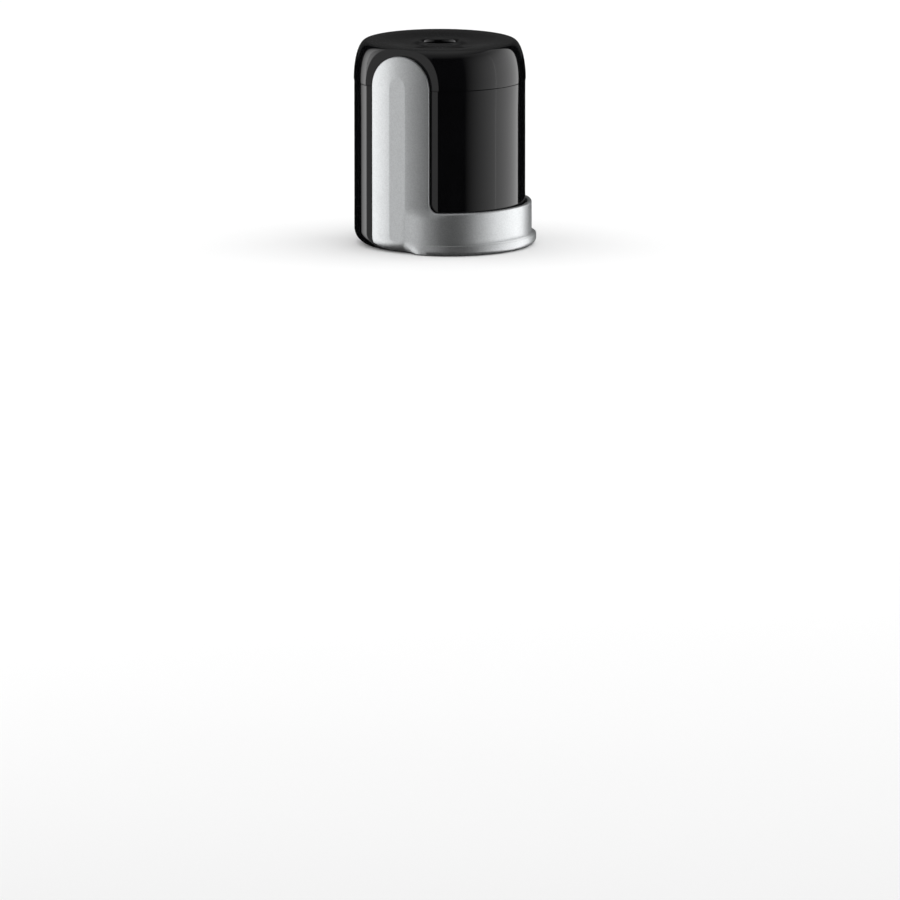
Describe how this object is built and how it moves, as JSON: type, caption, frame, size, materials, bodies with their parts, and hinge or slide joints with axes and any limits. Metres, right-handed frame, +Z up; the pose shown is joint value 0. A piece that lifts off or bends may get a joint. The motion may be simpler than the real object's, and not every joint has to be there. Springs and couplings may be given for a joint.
{
  "type": "sparkling wine bottle stopper",
  "caption": "Round gloss-black bottle stopper with a satin-silver U-shaped locking lever and a gas charging port in its top.",
  "frame": {"origin": "centre of the neck opening on the base plane", "axes": "+Z up along the bottle's axis, -Y towards the front, where the lever's ring and thumb lip are, X along the lever's hinge"},
  "size_m": [0.0716, 0.0777, 0.0861],
  "materials": {
    "black_gloss": "polished piano black",
    "black_base": "fine matt moulding",
    "black_rubber": "matt rubber",
    "seal_rubber": "grey silicone rubber",
    "grey_nylon": "glass-filled nylon",
    "bronze": "sintered bronze",
    "brass": "turned",
    "satin_silver": "satin silver",
    "zinc_casting": "as cast",
    "steel": "ground stainless",
    "spring_steel": "drawn wire",
    "zinc_screw": "zinc plated",
    "grey_nut": "machined"
  },
  "bodies": {
    "housing": {"lower_shell": "black_gloss", "top_cap": "black_gloss", "base_plate": "black_base", "neck_guide": "black_rubber", "chassis": "grey_nylon", "bush_left": "bronze", "bush_right": "bronze", "claw_pin_front": "steel", "claw_pin_back": "steel", "valve_body": "black_gloss", "valve_nut": "grey_nut", "port_washer": "black_rubber", "gas_tube": "steel", "spring_seat": "steel", "valve_spring": "spring_steel", "return_spring": "spring_steel", "base_screws": "zinc_screw", "cap_screws": "zinc_screw"},
    "lever": {"lever": "satin_silver", "shaft_left": "steel", "shaft_right": "steel", "cam_left": "steel", "cam_right": "steel", "cam_screws": "zinc_screw"},
    "plunger": {"yoke": "zinc_casting", "plunger_stem": "brass", "mouth_seal": "seal_rubber", "seal_retainer": "steel", "stem_o_ring": "black_rubber", "drive_pins": "steel"},
    "claw_front": {"claw_front": "steel"},
    "claw_back": {"claw_back": "steel"},
    "valve": {"valve_poppet": "brass", "poppet_seal": "black_rubber"}
  },
  "joints": [
    {"name": "lever_hinge", "type": "hinge", "parent": "housing", "child": "lever", "pos_m": [0, 0, 0.0696], "axis": [-1, 0, 0], "range_deg": [0, 115]},
    {"name": "plunger_slide", "type": "slide", "parent": "housing", "child": "plunger", "axis": [0, 0, 1], "range_m": [0, 0.004], "deforming": ["return_spring"]},
    {"name": "claw_front_hinge", "type": "hinge", "parent": "housing", "child": "claw_front", "pos_m": [0, -0.023, 0.0414], "axis": [-1, 0, 0], "range_deg": [0, 10]},
    {"name": "claw_back_hinge", "type": "hinge", "parent": "housing", "child": "claw_back", "pos_m": [0, 0.023, 0.0414], "axis": [1, 0, 0], "range_deg": [0, 10]},
    {"name": "valve_slide", "type": "slide", "parent": "housing", "child": "valve", "axis": [0, 0, -1], "range_m": [0, 0.002], "stiffness_N_per_m": 900, "springref_m": -0.001, "deforming": ["valve_spring"]}
  ],
  "couplings": [
    {"joint": "plunger_slide", "follows": "lever_hinge", "m_per_rad": 0.0019927},
    {"joint": "claw_front_hinge", "follows": "lever_hinge", "ratio": 0.086948},
    {"joint": "claw_back_hinge", "follows": "lever_hinge", "ratio": 0.086948}
  ]
}
